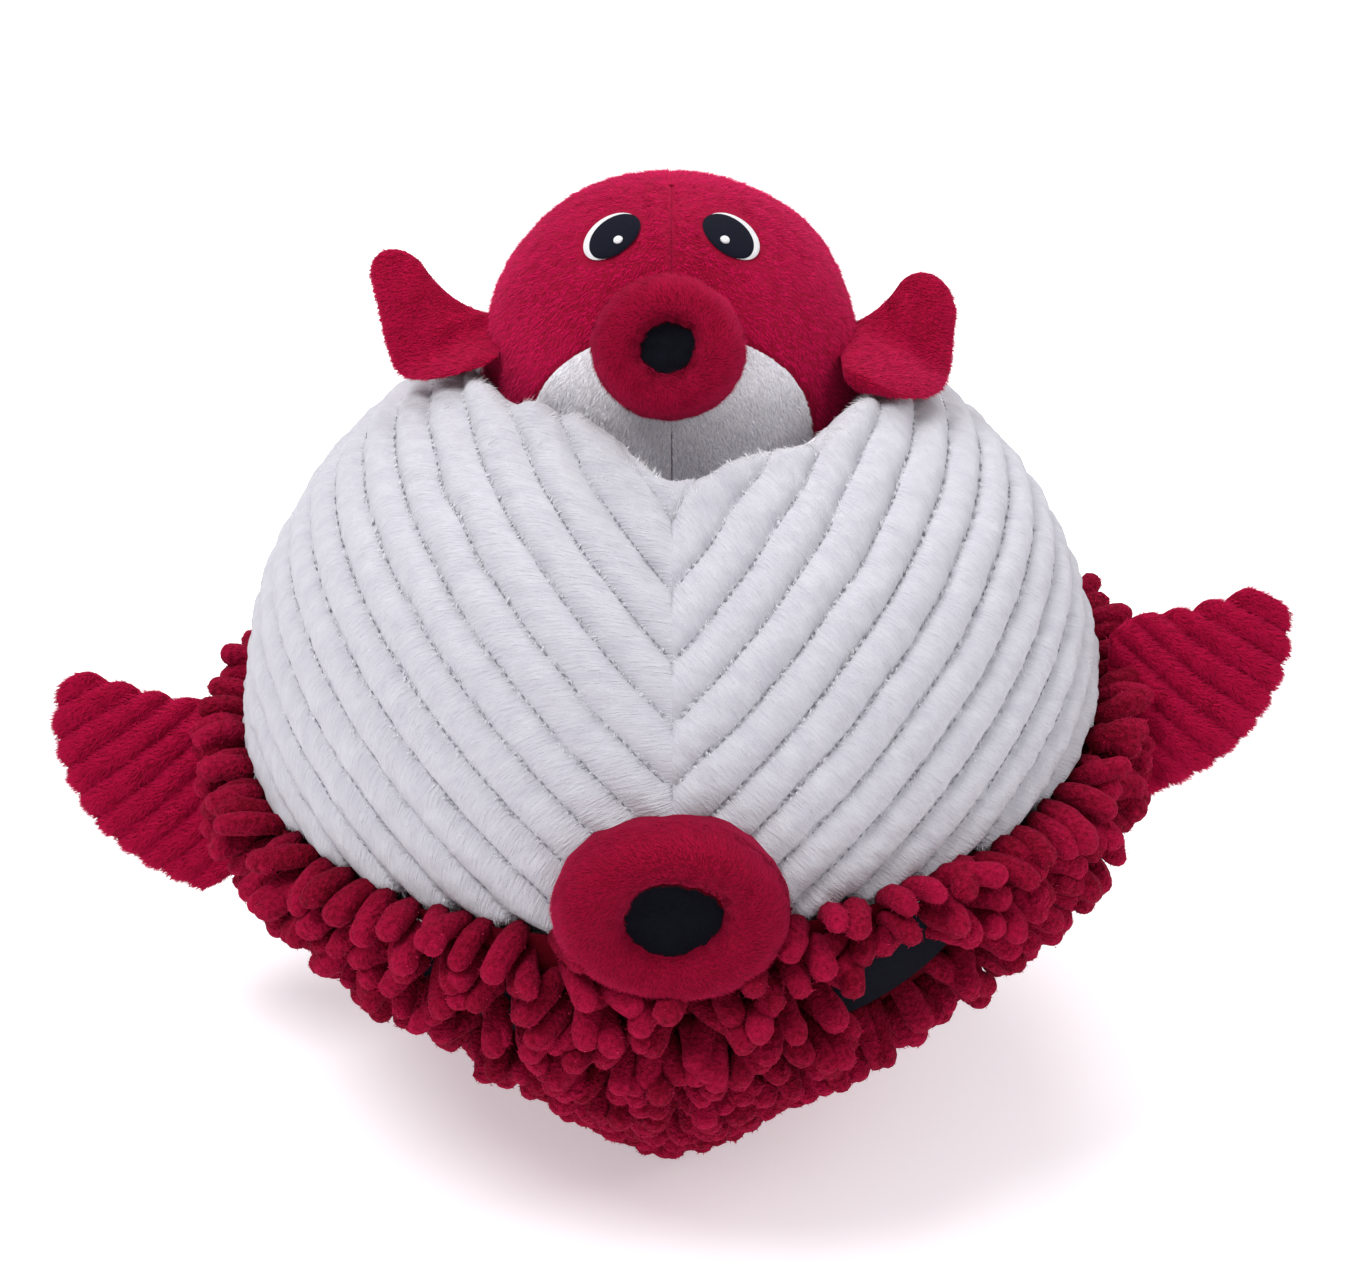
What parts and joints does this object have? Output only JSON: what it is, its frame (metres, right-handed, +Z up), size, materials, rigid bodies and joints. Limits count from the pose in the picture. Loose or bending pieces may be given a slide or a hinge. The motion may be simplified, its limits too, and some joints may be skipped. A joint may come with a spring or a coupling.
{
  "type": "plush toy sea creature with baby",
  "caption": "Round plush sea creature lying belly up, with a ribbed white belly, a chenille back, two fins, and a pouch that holds a lift-out baby with fins of its own.",
  "frame": {"origin": "on the floor, under the middle of the whole toy's box", "axes": "+Z up; +X along the fins, towards the fin on the right as the faces are looked at; -Y is the side that both faces look to"},
  "size_m": [0.4178, 0.318, 0.305],
  "materials": {
    "belly_plush": "white plush in wide stitched ribs, matt",
    "pouch_plush": "short white plush, matt",
    "chenille": "crimson chenille noodles, soft matt pile",
    "ribbed_plush": "crimson plush in curved stitched ribs, matt",
    "smooth_plush": "crimson short-pile plush, soft sheen",
    "baby_belly_plush": "white short-pile plush, soft sheen",
    "black_felt": "black felt, matt",
    "white_felt": "white felt, matt",
    "black_thread": "black satin stitch",
    "white_thread": "white satin stitch",
    "grey_thread": "fine grey sewing thread",
    "stuffing": "white polyester fibre",
    "pellet_bag": "plain woven cotton",
    "label_ribbon": "white satin ribbon, blank"
  },
  "bodies": {
    "mother": {"belly_panel_left": "belly_plush", "belly_panel_right": "belly_plush", "pouch_lining": "pouch_plush", "body_filling": "stuffing", "base_pellet_bag": "pellet_bag", "mouth_cover": "smooth_plush", "mouth_filling": "stuffing", "mouth_centre": "black_felt", "eye_black_left": "black_felt", "eye_white_left": "white_felt", "eye_black_right": "black_felt", "eye_white_right": "white_felt", "chenille_back": "chenille", "care_label": "label_ribbon"},
    "fin_left": {"fin_left_upper": "ribbed_plush", "fin_left_lower": "ribbed_plush", "fin_left_filling": "stuffing"},
    "fin_right": {"fin_right_upper": "ribbed_plush", "fin_right_lower": "ribbed_plush", "fin_right_filling": "stuffing"},
    "baby": {"baby_body_left": "smooth_plush", "baby_body_right": "smooth_plush", "baby_belly_left": "baby_belly_plush", "baby_belly_right": "baby_belly_plush", "baby_filling": "stuffing", "baby_mouth_cover": "smooth_plush", "baby_mouth_filling": "stuffing", "baby_mouth_centre": "black_felt", "baby_eye_black_left": "black_thread", "baby_eye_white_left": "white_thread", "baby_eye_glint_left": "white_thread", "baby_eye_black_right": "black_thread", "baby_eye_white_right": "white_thread", "baby_eye_glint_right": "white_thread"},
    "baby_fin_left": {"baby_fin_left_front": "smooth_plush", "baby_fin_left_back": "smooth_plush"},
    "baby_fin_right": {"baby_fin_right_front": "smooth_plush", "baby_fin_right_back": "smooth_plush"}
  },
  "joints": [
    {"name": "baby_lift", "type": "slide", "parent": "mother", "child": "baby", "axis": [0, 0, 1], "range_m": [0, 0.2]},
    {"name": "fin_left_flap", "type": "hinge", "parent": "mother", "child": "fin_left", "pos_m": [-0.1586, -0.01082, 0.0997], "axis": [0, 0.5446, 0.8387], "range_deg": [-30, 30], "stiffness_Nm_per_rad": 0.02},
    {"name": "fin_right_flap", "type": "hinge", "parent": "mother", "child": "fin_right", "pos_m": [0.1586, -0.01082, 0.1263], "axis": [0, -0.5446, -0.8387], "range_deg": [-30, 30], "stiffness_Nm_per_rad": 0.02},
    {"name": "baby_fin_left_flap", "type": "hinge", "parent": "baby", "child": "baby_fin_left", "pos_m": [-0.066, 0.02018, 0.257], "axis": [0, 0.5, 0.866], "range_deg": [-5, 45], "stiffness_Nm_per_rad": 0.004},
    {"name": "baby_fin_right_flap", "type": "hinge", "parent": "baby", "child": "baby_fin_right", "pos_m": [0.066, 0.02018, 0.254], "axis": [0, -0.5, -0.866], "range_deg": [-5, 45], "stiffness_Nm_per_rad": 0.004}
  ]
}
